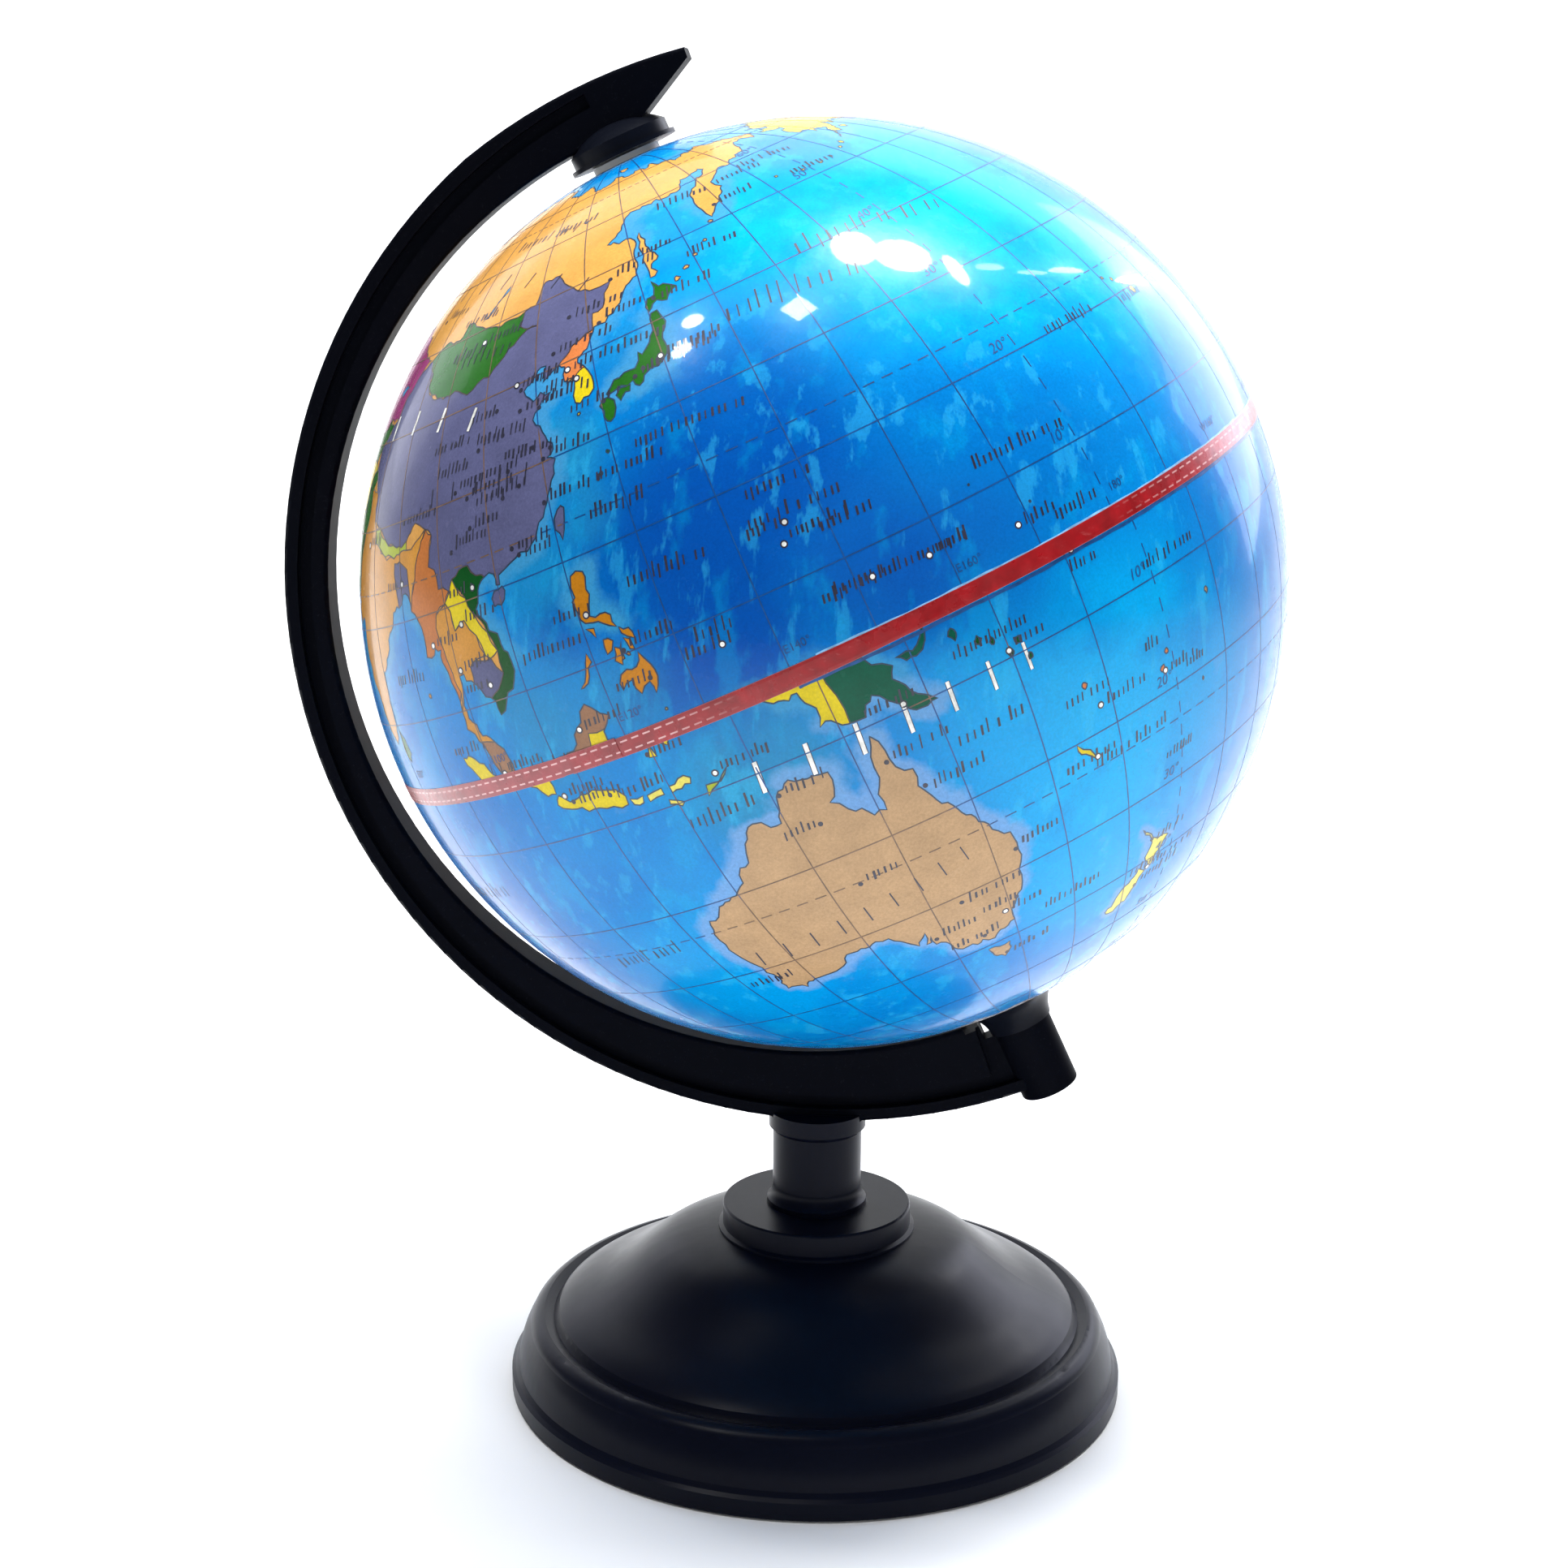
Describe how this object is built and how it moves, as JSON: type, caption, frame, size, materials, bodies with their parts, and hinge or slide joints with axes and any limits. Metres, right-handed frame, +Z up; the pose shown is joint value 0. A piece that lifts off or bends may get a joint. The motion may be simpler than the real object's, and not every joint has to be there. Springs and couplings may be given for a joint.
{
  "type": "desktop globe on stand",
  "caption": "Desktop globe spinning on a tilted axis in a C-shaped arm over a round bell-shaped base.",
  "frame": {"origin": "centre of the underside, on the surface the stand rests on", "axes": "+Z up; the arm lies in the XZ plane and the north end of the globe leans towards -X"},
  "size_m": [0.2181, 0.2004, 0.2997],
  "materials": {
    "map_print": "glossy printed",
    "tape": "glossy adhesive band",
    "inner_plastic": "natural moulded",
    "stand_plastic": "satin black moulded",
    "steel": "zinc plated",
    "ballast": "raw",
    "felt": "felt"
  },
  "bodies": {
    "stand": {"arm": "stand_plastic", "north_cap": "stand_plastic", "north_washer": "stand_plastic", "north_pin": "steel", "south_cup": "stand_plastic", "south_pin": "steel", "neck_ring": "stand_plastic", "neck_post": "stand_plastic", "tie_bolt": "steel", "tie_bolt_washer": "steel", "base_shell": "stand_plastic", "base_cover": "stand_plastic", "cover_screws": "steel", "base_weight": "ballast", "base_pad": "felt"},
    "globe": {"north_hemisphere": "map_print", "south_hemisphere": "map_print", "equator_tape": "tape", "equator_joint_ring": "inner_plastic", "north_bush": "stand_plastic", "south_bush": "stand_plastic"}
  },
  "joints": [
    {"name": "globe_spin", "type": "hinge", "parent": "stand", "child": "globe", "pos_m": [0, 0, 0.186], "axis": [-0.4226, 0, 0.9063], "continuous": true}
  ]
}
